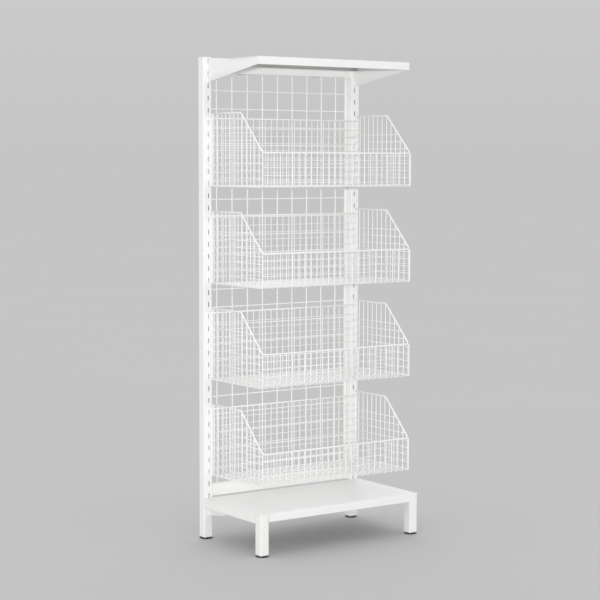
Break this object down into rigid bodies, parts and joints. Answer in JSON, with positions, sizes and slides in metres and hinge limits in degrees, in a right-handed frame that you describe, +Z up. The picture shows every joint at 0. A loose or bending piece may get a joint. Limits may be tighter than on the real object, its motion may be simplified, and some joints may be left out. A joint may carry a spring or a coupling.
{
  "type": "wire basket display stand",
  "caption": "Free-standing shop display stand: slotted square uprights with an open wire grid back, hook-in wire baskets with sloped sides, a sheet canopy and a low deck on levelling feet.",
  "frame": {"origin": "on the floor, in the middle of the stand's footprint", "axes": "+Z up, +X to the right for a person facing the front of the stand, +Y towards the wire grid at the back"},
  "size_m": [0.813, 0.4805, 2],
  "materials": {
    "frame_paint": "satin",
    "sheet_paint": "satin",
    "wire_paint": "satin",
    "cap_plastic": "matte",
    "zinc_steel": "satin",
    "black_plastic": "matte"
  },
  "bodies": {
    "frame": {"left_upright": "frame_paint", "left_upright_cap": "cap_plastic", "right_upright": "frame_paint", "right_upright_cap": "cap_plastic", "top_cross_rail": "frame_paint", "bottom_cross_rail": "frame_paint", "left_grid_bar": "frame_paint", "right_grid_bar": "frame_paint", "back_grid_panel": "wire_paint", "grid_clamp_top_left": "zinc_steel", "grid_clamp_top_right": "zinc_steel", "grid_clamp_bottom_left": "zinc_steel", "grid_clamp_bottom_right": "zinc_steel", "front_left_leg": "frame_paint", "left_base_rail": "frame_paint", "left_base_gusset": "frame_paint", "front_right_leg": "frame_paint", "right_base_rail": "frame_paint", "right_base_gusset": "frame_paint", "front_base_rail": "frame_paint", "foot_insert_rear_left": "black_plastic", "foot_insert_rear_right": "black_plastic", "foot_insert_front_left": "black_plastic", "foot_insert_front_right": "black_plastic"},
    "canopy": {"canopy_tray": "sheet_paint", "canopy_left_bracket": "sheet_paint", "canopy_right_bracket": "sheet_paint"},
    "deck": {"base_deck": "sheet_paint"},
    "basket_1": {"basket_1_body_mat": "wire_paint", "basket_1_left_mat": "wire_paint", "basket_1_right_mat": "wire_paint", "basket_1_rim": "wire_paint", "basket_1_left_hook": "wire_paint", "basket_1_right_hook": "wire_paint"},
    "basket_2": {"basket_2_body_mat": "wire_paint", "basket_2_left_mat": "wire_paint", "basket_2_right_mat": "wire_paint", "basket_2_rim": "wire_paint", "basket_2_left_hook": "wire_paint", "basket_2_right_hook": "wire_paint"},
    "basket_3": {"basket_3_body_mat": "wire_paint", "basket_3_left_mat": "wire_paint", "basket_3_right_mat": "wire_paint", "basket_3_rim": "wire_paint", "basket_3_left_hook": "wire_paint", "basket_3_right_hook": "wire_paint"},
    "basket_4": {"basket_4_body_mat": "wire_paint", "basket_4_left_mat": "wire_paint", "basket_4_right_mat": "wire_paint", "basket_4_rim": "wire_paint", "basket_4_left_hook": "wire_paint", "basket_4_right_hook": "wire_paint"},
    "foot_rear_left": {"foot_pad_rear_left": "black_plastic", "foot_stud_rear_left": "zinc_steel"},
    "foot_rear_right": {"foot_pad_rear_right": "black_plastic", "foot_stud_rear_right": "zinc_steel"},
    "foot_front_left": {"foot_pad_front_left": "black_plastic", "foot_stud_front_left": "zinc_steel"},
    "foot_front_right": {"foot_pad_front_right": "black_plastic", "foot_stud_front_right": "zinc_steel"}
  },
  "joints": [
    {"name": "basket_1_lift", "type": "slide", "parent": "frame", "child": "basket_1", "axis": [0, 0, 1], "range_m": [0, 0.008]},
    {"name": "basket_2_lift", "type": "slide", "parent": "frame", "child": "basket_2", "axis": [0, 0, 1], "range_m": [0, 0.008]},
    {"name": "basket_3_lift", "type": "slide", "parent": "frame", "child": "basket_3", "axis": [0, 0, 1], "range_m": [0, 0.008]},
    {"name": "basket_4_lift", "type": "slide", "parent": "frame", "child": "basket_4", "axis": [0, 0, 1], "range_m": [0, 0.008]},
    {"name": "canopy_lift", "type": "slide", "parent": "frame", "child": "canopy", "axis": [0, 0, 1], "range_m": [0, 0.008]},
    {"name": "deck_lift", "type": "slide", "parent": "frame", "child": "deck", "axis": [0, 0, 1], "range_m": [0, 0.06]},
    {"name": "foot_rear_left_screw", "type": "slide", "parent": "frame", "child": "foot_rear_left", "axis": [0, 0, -1], "range_m": [0, 0.015]},
    {"name": "foot_rear_right_screw", "type": "slide", "parent": "frame", "child": "foot_rear_right", "axis": [0, 0, -1], "range_m": [0, 0.015]},
    {"name": "foot_front_left_screw", "type": "slide", "parent": "frame", "child": "foot_front_left", "axis": [0, 0, -1], "range_m": [0, 0.015]},
    {"name": "foot_front_right_screw", "type": "slide", "parent": "frame", "child": "foot_front_right", "axis": [0, 0, -1], "range_m": [0, 0.015]}
  ]
}
